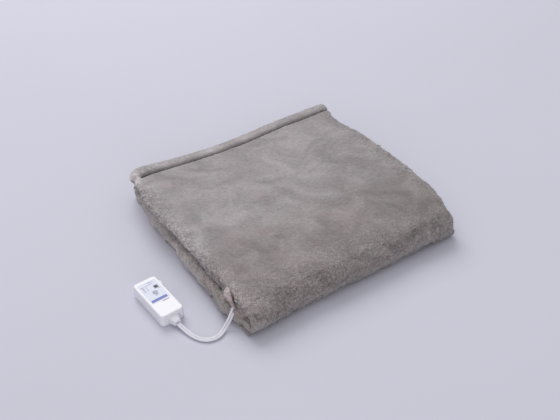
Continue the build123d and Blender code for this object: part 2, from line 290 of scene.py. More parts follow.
def metal_material(name, colour):
    """Brushed metal."""
    material, nodes, links, shader = node_material(name)
    brushed = stretched_noise(nodes, links, 900, (1, 1, 8), 2.0)
    gloss = remap(nodes, links, brushed.outputs["Fac"], 0.2, 0.45)
    links.new(gloss, shader.inputs["Roughness"])
    shader.inputs["Base Color"].default_value = (*colour, 1)
    shader.inputs["Metallic"].default_value = 1.0
    return material


def glass_material(name, colour):
    """Clear glass with a slight haze."""
    material, nodes, links, shader = node_material(name)
    haze = stretched_noise(nodes, links, 200, (1, 1, 1), 2.0)
    links.new(remap(nodes, links, haze.outputs["Fac"], 0.02, 0.10), shader.inputs["Roughness"])
    shader.inputs["Base Color"].default_value = (*colour, 1)
    shader.inputs["Transmission Weight"].default_value = 0.9
    return material


PILE_LIGHT = (0.380, 0.350, 0.355)
PILE_DARK = (0.262, 0.241, 0.243)
PLUSH = plush_material("plush_pile", PILE_LIGHT, PILE_DARK)
PLUSH_PINK = plush_material("plush_sleeve", PILE_LIGHT, PILE_DARK, (1.05, 0.975, 0.985))
# After the colour: roughness, strength and scale of the grain, unevenness of the colour, and coat
THREAD = plastic_material("stitch_thread", (0.13, 0.11, 0.10), 0.8, 0.3, 2500)
WHITE = plastic_material("case_white", (0.85, 0.84, 0.885), 0.38, 0.05, 1500, 0.015)
CORD_WHITE = plastic_material("cord_white", (0.77, 0.755, 0.81), 0.45, 0.04, 900, 0.02)
LABEL = plastic_material("label_film", (0.56, 0.585, 0.69), 0.30, 0.02, 700, 0.01, 0.3)
BUTTON = plastic_material("button_grey", (0.36, 0.38, 0.47), 0.42)
LENS = plastic_material("lamp_lens", (0.03, 0.03, 0.045), 0.42, 0.01, 500, 0.02)
LAMP = plastic_material("lamp_resin", (0.80, 0.80, 0.74), 0.2)
DARK = plastic_material("dark_plastic", (0.03, 0.03, 0.035), 0.5)
CONNECTOR = plastic_material("connector_plastic", (0.74, 0.74, 0.76), 0.45)
BOARD = plastic_material("board_green", (0.03, 0.13, 0.05), 0.35)
CAPACITOR = plastic_material("capacitor_yellow", (0.62, 0.42, 0.05), 0.35)
TERMINAL = plastic_material("terminal_green", (0.03, 0.22, 0.08), 0.45)
PRINT_BLUE = plastic_material("print_blue", (0.075, 0.125, 0.42), 0.35, 0.02, 700, 0.02)
PRINT_GREY = plastic_material("print_grey", (0.22, 0.23, 0.30), 0.4, 0.02, 700, 0.02)
STEEL = metal_material("screw_steel", (0.62, 0.62, 0.63))
FUSE_GLASS = glass_material("fuse_glass", (0.85, 0.9, 0.9))


# ---- Camera ----
# The view looks down at the throw from in front of its left corner.
CAMERA_AZIMUTH = math.radians(-34.0)
CAMERA_ELEVATION = math.radians(38.5)
CAMERA_PLACE = Vector((-0.693, -0.998, 0.980))
SENSOR_WIDTH_MM = 36
LENS_MM = 52.9
CLIP_START = 0.05
CLIP_END = 20


def make_camera():
    """The scene's camera, level in its sideways direction."""
    data = bpy.data.cameras.new("camera")
    data.sensor_width = SENSOR_WIDTH_MM
    data.lens = LENS_MM
    data.clip_start = CLIP_START
    data.clip_end = CLIP_END
    camera = bpy.data.objects.new("camera", data)
    bpy.context.scene.collection.objects.link(camera)
    level = math.cos(CAMERA_ELEVATION)
    back = Vector((math.sin(CAMERA_AZIMUTH) * level, -math.cos(CAMERA_AZIMUTH) * level,
                   math.sin(CAMERA_ELEVATION)))
    camera.location = CAMERA_PLACE
    camera.rotation_mode = "QUATERNION"
    camera.rotation_quaternion = (-back).to_track_quat("-Z", "Y")
    bpy.context.scene.camera = camera


# ---- Control cord: a flat two-core lead ----
CORD_ROUTE = [
    (-0.3112, -0.1369, 0.0085),
    (-0.3080, -0.1510, 0.0046),
    (-0.3025, -0.1730, 0.0031),
    (-0.2900, -0.1910, 0.0031),
    (-0.2690, -0.1955, 0.0031),
    (-0.2535, -0.1860, 0.0040),
    (-0.2412, -0.1840, 0.0174),
    (-0.2285, -0.1780, 0.0330),
]
CORD_WIDTH = 8.0 * MM
LOBE_R = 2.05 * MM
LOBE_HALF_TURN = 168
CORD_TWIST = math.radians(38)


def route_points(route):
    """The points of one smooth NURBS line through the route's control points."""
    curve = bpy.data.curves.new("route", "CURVE")
    curve.dimensions = "3D"
    curve.resolution_u = 12
    spline = curve.splines.new("NURBS")
    spline.points.add(len(route) - 1)
    for point, place in zip(spline.points, route):
        point.co = (*place, 1)
    spline.order_u = 3
    spline.use_endpoint_u = True
    carrier = bpy.data.objects.new("route", curve)
    line = bpy.data.meshes.new_from_object(carrier)
    points = [v.co.copy() for v in line.vertices]
    bpy.data.meshes.remove(line)
    bpy.data.objects.remove(carrier)
    bpy.data.curves.remove(curve)
    return points


def lead_section():
    """Two round cores side by side with a shallow groove between them, as (across, up) pairs."""
    offset = CORD_WIDTH / 2 - LOBE_R
    steps = 14
    angles = [math.radians(mix(-LOBE_HALF_TURN, LOBE_HALF_TURN, i / steps)) for i in range(steps + 1)]
    right = [(offset + LOBE_R * math.cos(a), LOBE_R * math.sin(a)) for a in angles]
    left = [(-x, -z) for x, z in right]
    return right + left


def make_cord():
    """The lead from the controller's bush to the sleeve, one section swept along its route."""
    points = route_points(CORD_ROUTE)
    section = lead_section()
    rings = []
    for i, point in enumerate(points):
        ahead = points[min(i + 1, len(points) - 1)]
        behind = points[max(i - 1, 0)]
        along = (ahead - behind).normalized()
        # The lead lies flat on the floor and turns on edge as it climbs to its sleeve
        climb = ramp(i / (len(points) - 1), 0.62, 0.95)
        level = along.cross(Vector((0, 0, 1))).normalized()
        across = Matrix.Rotation(CORD_TWIST * climb, 3, along) @ level
        up = across.cross(along).normalized()
        rings += [point + across * x + up * z for x, z in section]
    cord = new_object("control_lead", rings, loft_faces(len(points), len(section)), CORD_WHITE)
    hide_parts("control_cord")
    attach(cord, BASE)


# ---- Plush cloth ----
# A band is the doubled cloth. Its section is (x, n, pile): n is the height over the band's middle line,
# positive on the outside of the folds, and pile is 0 deep in the slit between the two layers. Each layer
# ends on the left in a rounded lip, and the slit runs to the crease on the right.
FACE_COLUMNS = 204
INSIDE_COLUMNS = 44
NOSE_COLUMNS = 14
LIP_COLUMNS = 11
SLIT_COLUMNS = 6
SLIT = 0.7 * MM
LIP_DEPTH = 8.0 * MM
# The power of a lip's outline: low is full and rather square, near 1 is round
SQUARE_LIP = 0.7
ROUND_LIP = 0.9
# How far the inner layer swells into the space inside the front fold, at its left end
FOLD_FILL = 12.5 * MM
# The pile stays this far above the floor
FLOOR_CLEARANCE = 0.3 * MM
# Above this height the cloth belongs to the top layer
TOP_FROM_Z = 45 * MM
# Painted shade on the pile deep in the slit between the layers
SLIT_PAINTED_SHADE = 0.45


def lip_points(x, middle, half, depth, fullness=SQUARE_LIP):
    """A lip, from its inner corner round to its outer one."""
    points = []
    for i in range(LIP_COLUMNS):
        a = math.radians(-90 - 180 * i / LIP_COLUMNS)
        points.append((x - depth * abs(math.cos(a)) ** fullness, middle + half * math.sin(a), 1.0))
    return points


def band_section(outer_left, inner_left, right, top=HALF_BAND, bottom=-HALF_BAND, split=0.0, swell_left=0.0,
                 bias=1.0, inner_depth=LIP_DEPTH):
    """One loop round the doubled cloth. split is the slit's height, swell_left is how far the inner layer
    swells at its left end, and bias above 1 gathers the columns towards the left lip."""
    half = (top - bottom) / 2
    middle = (top + bottom) / 2
    nose_x = right - half
    swollen = bottom - swell_left
    outer_half = (top - split) / 2
    inner_half = (split - swollen) / 2
    outer_depth = min(outer_half, LIP_DEPTH)
    inner_depth = min(inner_half, inner_depth)
    inner_fullness = SQUARE_LIP if inner_depth <= LIP_DEPTH else ROUND_LIP
    outer_x = outer_left + outer_depth
    inner_x = inner_left + inner_depth
    loop = []
    for i in range(FACE_COLUMNS):
        loop.append((mix(outer_x, nose_x, (i / FACE_COLUMNS) ** bias), top, 1.0))
    for i in range(NOSE_COLUMNS):
        a = math.radians(90 - 180 * i / NOSE_COLUMNS)
        loop.append((nose_x + half * math.cos(a), middle + half * math.sin(a), 1.0))
    for i in range(INSIDE_COLUMNS):
        x = mix(inner_x, nose_x, (1 - i / INSIDE_COLUMNS) ** 2.2)
        loop.append((x, bottom - swell_left * ramp(x, inner_left + 40 * MM, inner_x), 1.0))
    loop += lip_points(inner_x, (split + swollen) / 2, inner_half, inner_depth, inner_fullness)
    for i in range(SLIT_COLUMNS):
        loop.append((mix(inner_x, nose_x, (i / SLIT_COLUMNS) ** 2), split - SLIT / 2, 0.0))
    for i in range(SLIT_COLUMNS):
        loop.append((mix(outer_x, nose_x, (1 - i / SLIT_COLUMNS) ** 2), split + SLIT / 2, 0.0))
    loop += lip_points(outer_x, (split + top) / 2, outer_half, outer_depth)
    return loop


# Places in the noise, so that the reliefs of different sizes don't line up
LUMP_SEED = Vector((0.31, 0.12, 0.05))
WIDE_SEED = Vector((3.1, 7.7, 1.3))
NEAR_SEED = Vector((9.4, 2.6, 5.9))


def clumps(p, along, across, height):
    """Noise from -1 to 1 in clumps of the given sizes along the nap, across it and upwards."""
    return noise.noise(Vector((p.dot(NAP) / along, p.dot(NAP_SIDE) / across, p.z / height)))


def openness(p):
    """How far the pile opens, 0 on the flat top and 1 where the cloth bends over an edge or lies loose."""
    left = ramp(p.x, LEFT_X + 40 * MM, LEFT_X + 8 * MM)
    right = ramp(p.x, RIGHT_X - 60 * MM, RIGHT_X - 8 * MM)
    front = ramp(p.y, FRONT_Y + 70 * MM, FRONT_Y - 20 * MM)
    back = ramp(p.y, STITCH_Y - 2 * MM, STITCH_Y + 8 * MM)
    low = ramp(p.z, 46 * MM, 36 * MM)
    return max(left, 0.8 * right, 0.8 * front, 0.6 * back, low)


def pile_height(p):
    """The pile's own relief: brushed tufts on the flat, rounder and deeper clumps where it opens."""
    share = openness(p)
    brushed = 0.70 * clumps(p, 7 * MM, 3.6 * MM, 3.6 * MM) + 0.6 * clumps(p, 4.2 * MM, 2.6 * MM, 2.6 * MM)
    round_tufts = 1.2 * clumps(p, 6.4 * MM, 5.2 * MM, 5.0 * MM) + clumps(p, 3.6 * MM, 3.0 * MM, 3.0 * MM)
    tufts = mix(0.7, 1.6, share) * mix(brushed, round_tufts, share)
    fine = noise.noise(p / (1.9 * MM)) + 0.6 * noise.noise(p / (1.1 * MM))
    return (tufts + mix(0.5, 2.1, share) * fine) * MM


def lumps(p):
    """Shallow lumps where the cloth hangs loose."""
    return 2.0 * MM * openness(p) * clumps(p + LUMP_SEED, 17 * MM, 14 * MM, 14 * MM)


def roll_painted_light_and_shade(p, left_end):
    """Painted light and shade on the front roll: painted light on its face, painted shade low on the face and
    a painted shadow at its foot.
    """
    face = ramp(p.y, FRONT_Y - 2 * MM, FRONT_Y - 23 * MM)
    # A painted shadow where the roll meets the floor
    foot = ramp(p.y, FRONT_Y - 2 * MM, FRONT_Y - 10 * MM) * ramp(p.z, 9 * MM, 3 * MM)
    shade = mix(1.0, mix(1.14, 1.08, left_end), face)
    shade *= 1 - 0.16 * face * ramp(p.z, 24 * MM, 6 * MM)
    return shade * (1 - 0.72 * foot)


def top_painted_shade(p):
    """The top's painted shade in the stitch groove, and its tone: darker to the right and lighter along both
    its edges.
    """
    # Painted shade in the stitch groove
    shade = 1 - 0.34 * hump(p.y, stitch_line(p.x), 6 * MM)
    shade *= 1 + 0.33 * ramp(p.x, LEFT_X + 46 * MM, LEFT_X + 12 * MM)
    shade *= 1 - 0.10 * ramp(p.x, 20 * MM, 160 * MM)
    return shade * (1 + 0.14 * ramp(p.x, RIGHT_X - 24 * MM, RIGHT_X - 8 * MM))


def pile_painted_shade_and_tint(p, height):
    """The pile's painted light and shade as a colour, with a tint: painted shade in its hollows and painted
    light on its tips, painted shade where the top slopes away, painted light and streaks on the loose left
    side, and a little warmer there and towards the front."""
    left_end = ramp(p.x, LEFT_X + 52 * MM, LEFT_X + 9 * MM)
    loose = left_end * ramp(p.z, 46 * MM, 34 * MM)
    slope = ramp(p.y, -20 * MM, -140 * MM)
    # Painted shade in the pile's hollows and painted light on its tips
    shade = 1 + 0.14 * max(-1.8, min(1.8, height / MM))
    # Painted shade where the top slopes away towards the front, and the roll's painted light and shade
    shade *= mix(1.0, 0.78, slope) * roll_painted_light_and_shade(p, left_end)
    if p.z > TOP_FROM_Z:
        shade *= top_painted_shade(p)
    shade *= 1 + 0.14 * loose * noise.noise(Vector((4.4, p.y / (19 * MM), p.z / (30 * MM))))
    # Painted light on the loose left side, more towards the floor, less in the shade under the top lip
    shade *= mix(1.0, mix(1.15, 1.55, ramp(p.z, 38 * MM, 12 * MM)), loose)
    # A trace of pink along the second lip, under the top one
    second_lip = left_end * ramp(p.y, -70 * MM, -120 * MM) * hump(p.z, 49 * MM, 5 * MM)
    shade *= 1 + 0.03 * second_lip
    warm = max(0.7 * slope, loose)
    return (shade * mix(1.0, 1.04, warm), shade * (1 - 0.02 * second_lip), shade * mix(1.0, 0.94, warm))


def swell(p):
    """The slow unevenness of thick soft cloth, from about -1 to 1."""
    wide = noise.noise(Vector((p.x / (105 * MM), p.y / (85 * MM), p.z / (90 * MM))) + WIDE_SEED)
    near = noise.noise(Vector((p.x / (38 * MM), p.y / (34 * MM), p.z / (30 * MM))) + NEAR_SEED)
    return wide + 0.45 * near


def pressed(p):
    """How much of its relief the pile keeps: less at the foot of the roll, which its weight presses even."""
    foot = mix(0.35, 1.0, ramp(p.z, 2 * MM, 15 * MM))
    return mix(foot, 1.0, ramp(p.y, FRONT_Y - 11 * MM, FRONT_Y + 11 * MM))


def write_layer(mesh, layer, values):
    """One of PILE_LAYERS for the whole mesh, from a flat list of numbers."""
    kind, field, _ = PILE_LAYERS[layer]
    mesh.attributes.new(layer, kind, "POINT").data.foreach_set(field, values)


def add_pile(piece, pile, swell_height, pile_share=1.0, lighten=1.0):
    """Moves each point along its normal by the cloth's unevenness and its pile, and keeps the pile's painted
    light and shade and its tint.
    """
    mesh = piece.data
    normals = [v.normal.copy() for v in mesh.vertices]
    opened = [openness(v.co) for v in mesh.vertices]
    painted_shades = []
    for vertex, normal, share in zip(mesh.vertices, normals, pile):
        if share == 0:
            # Painted shade deep in the slit
            painted_shades += grey(SLIT_PAINTED_SHADE)
            continue
        p = vertex.co
        height = pile_height(p)
        painted_shades += [lighten * tone for tone in pile_painted_shade_and_tint(p, height)]
        vertex.co = p + normal * pressed(p) * (swell_height * swell(p) + pile_share * (height + lumps(p)))
        vertex.co.z = max(vertex.co.z, FLOOR_CLEARANCE)
    write_layer(mesh, PILE_PAINTED_SHADE_AND_TINT, painted_shades)
    write_layer(mesh, PILE_OPEN, opened)
    mesh.update()


def band_piece(name, stations):
    """A cloth band through stations of (y, z, outward normal in YZ, section)."""
    points = []
    pile = []
    for y, z, normal_y, normal_z, section in stations:
        for x, n, share in section:
            points.append(Vector((x, y + normal_y * n, z + normal_z * n)))
            pile.append(share)
    piece = new_object(name, points, loft_faces(len(stations), len(stations[0][4])), PLUSH)
    return piece, pile


def lower_left(y):
    """Left edge of the layers that lie on the floor: furthest out near the front, with a slight ripple."""
    inset = 8 * MM * ramp(y, -140 * MM, 130 * MM) + 12 * MM * ramp(y, 120 * MM, 200 * MM)
    inset += 11 * MM * ramp(y, -165 * MM, -215 * MM) + 3.5 * MM * hump(y, -186 * MM, 14 * MM)
    outset = 2.0 * MM + 1.5 * MM * ramp(y, -80 * MM, -140 * MM)
    return LEFT_X + inset - outset + 1.2 * MM * math.sin(y / (21 * MM) + 0.6)


def upper_left(y):
    """Left edge of the top layers: furthest out at the back."""
    inset = 11 * MM * ramp(y, 120 * MM, -170 * MM) ** 1.4 + 18 * MM * ramp(y, 120 * MM, 200 * MM)
    return LEFT_X + inset + 0.8 * MM * math.sin(y / (27 * MM) + 1.9)


def right_edge(y):
    """Right edge of the top panel, with its soft rounded corner at the front."""
    inset = 8 * MM + 30 * MM * ramp(y, -135 * MM, -240 * MM) ** 1.3 + 9.0 * MM * hump(y, 138 * MM, 45 * MM)
    outset = 6 * MM * hump(y, -60 * MM, 85 * MM) + 2.5 * MM * hump(y, 195 * MM, 20 * MM)
    return RIGHT_X - inset + outset


def stitch_line(x):
    """Y of the stitch line in front of the rolled hem, which bows forward in the middle."""
    return STITCH_Y - 11 * MM * hump(x, -20 * MM, 110 * MM) - 1.5 * MM


def bottom_stations():
    """The bottom panel, from the back fold to the front fold. Its upper layer swells up on the left."""
    stations = []
    steps = 111
    for i in range(steps):
        y = mix(BACK_Y, FRONT_Y, i / steps)
        left = lower_left(y)
        fluff = ramp(y, 200 * MM, 120 * MM)
        loose = fluff * ramp(y, FRONT_Y, -180 * MM)
        section = band_section(
            outer_left=left + mix(2, 6, loose) * MM,
            inner_left=left + mix(2, 0, loose) * MM,
            right=RIGHT_X - 12 * MM - 6 * MM * ramp(y, -140 * MM, FRONT_Y),
            split=7.0 * MM * loose,
            swell_left=mix(FOLD_FILL, 24 * MM, loose) * fluff,
            bias=mix(2.6, 1.0, ramp(i, steps - 24, steps)),
            inner_depth=mix(LIP_DEPTH, 13 * MM, loose))
        stations.append((y, HALF_BAND, 0.0, -1.0, section))
    return stations


def front_fold_stations():
    """The large round fold at the front, from the floor up to the top panel."""
    stations = []
    steps = 44
    for i in range(steps):
        turn = i / steps
        a = math.radians(-90 - 180 * turn)
        bulge = math.sin(math.pi * turn)
        left = mix(lower_left(FRONT_Y) + 2 * MM, upper_left(FRONT_Y), smooth(turn))
        left += 3.5 * MM * hump(turn, 0.40, 0.25)
        right = mix(RIGHT_X - 18 * MM, right_edge(FRONT_Y), smooth(turn)) - 5 * MM * hump(turn, 0.45, 0.3)
        section = band_section(left, left + 4 * MM * bulge, right, split=-1.5 * MM * bulge,
                               swell_left=FOLD_FILL)
        y = FRONT_Y + FRONT_FOLD_R * math.cos(a)
        z = FRONT_FOLD_Z + FRONT_FOLD_R * math.sin(a)
        stations.append((y, z, math.cos(a), math.sin(a), section))
    return stations


def top_stations():
    """The top panel, from the front fold back to the stitch line, where it is pinched thin."""
    stations = []
    steps = 178
    for i in range(steps + 1):
        y = mix(FRONT_Y, STITCH_Y, i / steps)
        left = upper_left(y)
        pinch = ramp(y, STITCH_Y - 14 * MM, STITCH_Y) ** 1.5
        under = 3.5 * MM * ramp(y, -20 * MM, -100 * MM)
        section = band_section(
            outer_left=left,
            inner_left=left + mix(-1.0 * MM, 9 * MM, ramp(y, -120 * MM, 20 * MM)),
            right=right_edge(y),
            top=HALF_BAND - 9.0 * MM * pinch,
            bottom=-HALF_BAND + 3.0 * MM * pinch,
            split=-2.0 * MM * ramp(y, FRONT_Y, FRONT_Y + 30 * MM),
            swell_left=mix(under, FOLD_FILL, ramp(y, FRONT_Y + 25 * MM, FRONT_Y)))
        stations.append((y, TOP_LOW.z + HALF_BAND, 0.0, 1.0, section))
    return stations


def top_drop(p):
    """How far the top layer drops towards the front roll and at both sides, with slow waves in it."""
    slope = 9.0 * MM * ramp(p.y, -30 * MM, -225 * MM) ** 1.3 * mix(1.0, 0.5, ramp(p.x, 120 * MM, 220 * MM))
    droop_left = 4.0 * MM * ramp(p.x, -185 * MM, -240 * MM)
    droop_right = 3.5 * MM * ramp(p.x, 180 * MM, 235 * MM) * ramp(p.y, 50 * MM, -100 * MM)
    wave = 2.4 * MM * noise.noise(Vector((p.x / (120 * MM) + 4, p.y / (140 * MM), 0.5)))
    return slope + droop_left + droop_right - wave


def hanging_front(p):
    """Y of a point in the roll, whose own weight lets its front hang upright and widens its foot."""
    left_end = ramp(p.x, -140 * MM, -225 * MM)
    y = FRONT_Y + (p.y - FRONT_Y) * mix(0.76, 0.90, left_end)
    if p.z >= FRONT_FOLD_Z:
        return y
    return min(y, FRONT_Y - mix(18.5 * MM, 21.0 * MM, left_end) + 7 * MM * ramp(p.z, 6 * MM, 0))


def shape_outer_band(mesh):
    """Lets the even band sag: its top, its front roll, its loose left side and its bowed stitch line."""
    for vertex in mesh.vertices:
        p = vertex.co
        p.z -= ramp(p.z, 16 * MM, 60 * MM) * top_drop(p)
        if p.y < FRONT_Y:
            p.y = hanging_front(p)
        front = ramp(p.y, FRONT_Y + 1 * MM, FRONT_Y - 14 * MM)
        p.y += front * 2.6 * MM * noise.noise(Vector((p.x / (55 * MM), 8.2, p.z / (60 * MM))))
        # Upright folds in the left side of the layers on the floor
        side = ramp(p.x, -205 * MM, -228 * MM) * ramp(p.z, 47 * MM, 38 * MM)
        side *= ramp(p.y, -205 * MM, -185 * MM)
        if side > 0:
            p.x += 3.4 * MM * side * noise.noise(Vector((1.7, p.y / (17 * MM), p.z / (50 * MM))))
        if p.z > 40 * MM and p.y > 120 * MM:
            p.y += (stitch_line(p.x) - STITCH_Y) * ramp(p.y, 120 * MM, STITCH_Y)
    mesh.update()


def band_part(name, band, count, first, last):
    """The stretch of a finished band from one station to another, as a closed piece of its own."""
    start, end = first * count, (last + 1) * count
    points = [v.co for v in band.data.vertices[start:end]]
    part = new_object(name, points, loft_faces(last - first + 1, count), PLUSH)
    for cap in part.data.polygons[-2:]:
        cap.use_smooth = False
    for layer, (_, field, width) in PILE_LAYERS.items():
        values = [0.0] * len(band.data.vertices) * width
        band.data.attributes[layer].data.foreach_get(field, values)
        write_layer(part.data, layer, values[start * width:end * width])
    return part


def outer_band():
    """The bottom panel, and the front fold with the top panel, cut from one shaped band of cloth."""
    bottom = bottom_stations()
    stations = bottom + front_fold_stations() + top_stations()
    band, pile = band_piece("band", stations)
    shape_outer_band(band.data)
    add_pile(band, pile, 1.15 * MM)
    count = len(stations[0][4])
    base = band_part("throw_bottom_panel", band, count, 0, len(bottom))
    flap = band_part("throw_top_panel", band, count, len(bottom), len(stations) - 1)
    mesh = band.data
    bpy.data.objects.remove(band)
    bpy.data.meshes.remove(mesh)
    return base, flap


def inner_band():
    """Back fold and inner panel, ending in a rounded hem inside the front fold."""
    stations = []
    fold_steps = 18
    for i in range(fold_steps):
        turn = i / fold_steps
        a = math.radians(-90 + 180 * turn)
        left = lower_left(BACK_Y) + 2 * MM + 6 * MM * turn
        section = band_section(left, left, RIGHT_X - 15 * MM)
        y = BACK_Y + BACK_FOLD_R * math.cos(a)
        z = BACK_FOLD_Z + BACK_FOLD_R * math.sin(a)
        stations.append((y, z, math.cos(a), math.sin(a), section))
    panel_steps = 100
    for i in range(panel_steps + 1):
        y = mix(BACK_Y, INNER_END_Y + HALF_BAND, i / panel_steps)
        left = lower_left(BACK_Y) + 8 * MM + 15 * MM * ramp(y, 180 * MM, 120 * MM)
        section = band_section(left, left + 3 * MM, RIGHT_X - 15 * MM)
        stations.append((y, INNER_LOW.z + HALF_BAND, 0.0, 1.0, section))
    nose_steps = 7
    full = stations[-1][4]
    for i in range(1, nose_steps + 1):
        a = math.radians(90 * i / nose_steps)
        thin = max(0.06, math.cos(a))
        section = [(x, n * thin, share) for x, n, share in full]
        y = INNER_END_Y + HALF_BAND - HALF_BAND * math.sin(a)
        stations.append((y, INNER_LOW.z + HALF_BAND, 0.0, 1.0, section))
    piece, pile = band_piece("throw_inner_band", stations)
    add_pile(piece, pile, 0.4 * MM, 0.5)
    return piece


def hem_path(depth, centre_z):
    """The hem's middle line, from the right end along the stitches, round the left corner and down the lip,
    and the number of its steps along the stitches."""
    start_x = RIGHT_X - 2 * MM
    corner_x = LEFT_X + 36 * MM
    radius = 17 * MM
    straight_steps = 190
    corner_steps = 15
    tail_steps = 14
    path = []
    for i in range(straight_steps + 1):
        x = mix(start_x, corner_x, i / straight_steps)
        raised = 4.0 * MM * ramp(x, -120 * MM, corner_x)
        y = stitch_line(x) + depth / 2 - 0.5 * MM + raised
        path.append(Vector((x, y, centre_z + 0.6 * raised)))
    corner = path[-1].copy()
    for i in range(1, corner_steps + 1):
        a = math.radians(90 + 90 * i / corner_steps)
        path.append(corner + Vector((radius * math.cos(a), radius * (math.sin(a) - 1), 0)))
    end = path[-1].copy()
    for i in range(1, tail_steps + 1):
        share = i / tail_steps
        path.append(end + Vector((-3.5 * MM * smooth(share), -2.6 * MM * i, -3.0 * MM * share)))
    return path, straight_steps


def rolled_hem():
    """The thick rolled edge behind the stitch line, which turns the left corner and fades into the lip."""
    depth = HEM_HIGH.y - HEM_LOW.y
    straight_half_height = (HEM_HIGH.z - HEM_LOW.z) / 2 - 0.8 * MM
    path, straight = hem_path(depth, (HEM_LOW.z + HEM_HIGH.z) / 2 - 0.4 * MM)
    angles = ring_angles(44)
    points = []
    last = len(path) - 1
    for i, p in enumerate(path):
        along = (path[min(i + 1, last)] - path[max(i - 1, 0)]).normalized()
        side = Vector((0, 0, 1)).cross(along).normalized()
        round_end = math.sqrt(max(0.02, 1 - (1 - min(1, i / 4)) ** 2))
        corner_share = ramp(i, straight - 4, last - 6)
        half_depth = mix(depth / 2, 8.5 * MM, corner_share) * round_end
        half_height = mix(straight_half_height, 7.5 * MM, corner_share) * round_end
        half_depth *= mix(1.0, 0.25, ramp(i, last - 12, last))
        for a in angles:
            across = half_depth * squared(math.cos(a), 0.9)
            up = half_height * squared(math.sin(a), 0.9)
            # The stitches pull the hem's front side down to a wedge
            up *= 1 - 0.35 * ramp(-across, 0.2 * half_depth, half_depth)
            points.append(p + side * across + Vector((0, 0, up)))
    hem = new_object("throw_rolled_hem", points, loft_faces(last + 1, len(angles)), PLUSH)
    add_pile(hem, [1.0] * len(points), 0.8 * MM, 0.6, lighten=1.34)
    return hem


def cloth_nodes(*regions):
    """The CAD nodes of whole regions of the doubled cloth."""
    cloth_parts = ("face_cloth", "back_cloth", "edge_seams", "heating_wire")
    return [f"{region}_{part}" for region in regions for part in cloth_parts]


def make_throw():
    """The four pieces of cloth in place of the CAD cloth; the bottom panel and the inner band go with the
    throw's base, and the hem with its top flap.
    """
    base, flap = outer_band()
    inner = inner_band()
    hem = rolled_hem()
    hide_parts(*cloth_nodes("bottom_panel"))
    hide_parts(*cloth_nodes("front_fold", "top_panel"))
    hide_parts("inner_hem", *cloth_nodes("back_fold", "inner_panel"))
    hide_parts("rolled_hem")
    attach(base, BASE)
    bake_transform(flap)
    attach(inner, BASE)
    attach(hem, FLAP)


# ---- The lead's sleeve and the hem's stitches ----
SLEEVE_LINE = [
    Vector((-0.2140, -0.1430, 0.0430)),
    Vector((-0.2320, -0.1490, 0.0480)),
    Vector((-0.2345, -0.1705, 0.0530)),
    Vector(CORD_ROUTE[-1]),
]
SLEEVE_FACING = Vector((-0.7, 0.5, 0.4))
SLEEVE_HALF_WIDTH = 10.6 * MM
SLEEVE_HALF_THICKNESS = 4.4 * MM
SLEEVE_TIP_SHARE = 0.58
SLEEVE_MOUTH = (1.0, 0.93, 0.74)


def bezier(line, t):
    """The place and the direction at t on a curve with four control points."""
    s = 1 - t
    place = s ** 3 * line[0] + 3 * s * s * t * line[1] + 3 * s * t * t * line[2] + t ** 3 * line[3]
    slope = 3 * s * s * (line[1] - line[0]) + 6 * s * t * (line[2] - line[1])
    slope += 3 * t * t * (line[3] - line[2])
    return place, slope.normalized()


def make_sleeve():
    """The plush tongue that holds the lead, bowed out from under the top panel's lip to a narrower tip."""
    rings = 30
    angles = ring_angles(30)
    points = []
    for i in range(rings):
        t = i / (rings - 1)
        centre, along = bezier(SLEEVE_LINE, t)
        across = along.cross(SLEEVE_FACING).normalized()
        up = across.cross(along).normalized()
        share = mix(1.0, SLEEVE_TIP_SHARE, smooth(t)) * SLEEVE_MOUTH[max(0, i - rings + 3)]
        for a in angles:
            points.append(centre + across * SLEEVE_HALF_WIDTH * share * math.cos(a)
                          + up * SLEEVE_HALF_THICKNESS * share * math.sin(a))
    sleeve = new_object("lead_sleeve", points, loft_faces(rings, len(angles)), PLUSH_PINK)
    add_pile(sleeve, [1.0] * len(points), 0.2 * MM, 0.35, lighten=1.45)
    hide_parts("cord_sleeve")
    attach(sleeve, BASE)


def make_stitches():
    """A row of short thread stitches deep in the groove along the hem."""
    points = []
    faces = []
    pitch = 5.0 * MM
    length = 3.4 * MM
    thickness = 0.45 * MM
    angles = ring_angles(6)
    steps = 4
    x = LEFT_X + 30 * MM
    while x < RIGHT_X - 14 * MM:
        base = len(points)
        for i in range(steps + 1):
            t = i / steps
            radius = thickness * math.sin(math.pi * mix(0.12, 0.88, t))
            place_x = x + length * t
            y = stitch_line(place_x) + 0.6 * MM
            z = TOP_HIGH.z - 9.5 * MM + 0.5 * MM * math.sin(math.pi * t)
            for a in angles:
                points.append((place_x, y + radius * math.cos(a), z + radius * math.sin(a)))
        faces += [tuple(base + index for index in face) for face in loft_faces(steps + 1, len(angles))]
        x += pitch
    stitches = new_object("hem_stitches", points, faces, THREAD)
    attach(stitches, FLAP)


# ---- Hand controller ----
CASE_LOW, CASE_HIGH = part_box("controller_upper_case")
CASE_CENTRE = Vector(((CASE_LOW.x + CASE_HIGH.x) / 2, (CASE_LOW.y + CASE_HIGH.y) / 2, 0))
CASE_YAW = math.radians(3.55)
CASE_PLACE = Matrix.Translation(CASE_CENTRE) @ Matrix.Rotation(CASE_YAW, 4, "Z")
LABEL_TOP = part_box("face_label")[1].z
PRINT_SINK = 0.02 * MM
PRINT_HEIGHT = 0.06 * MM


def patch_outline(width, length, corner):
    """A rectangle about its middle, with round corners where corner is above 0."""
    outline = []
    arc_steps = 5 if corner > 0 else 0
    for side_x, side_y, start in ((1, -1, -90), (1, 1, 0), (-1, 1, 90), (-1, -1, 180)):
        for i in range(arc_steps + 1):
            a = math.radians(start + 90 * i / max(1, arc_steps))
            outline.append((side_x * (width / 2 - corner) + corner * math.cos(a),
                            side_y * (length / 2 - corner) + corner * math.sin(a)))
    return outline


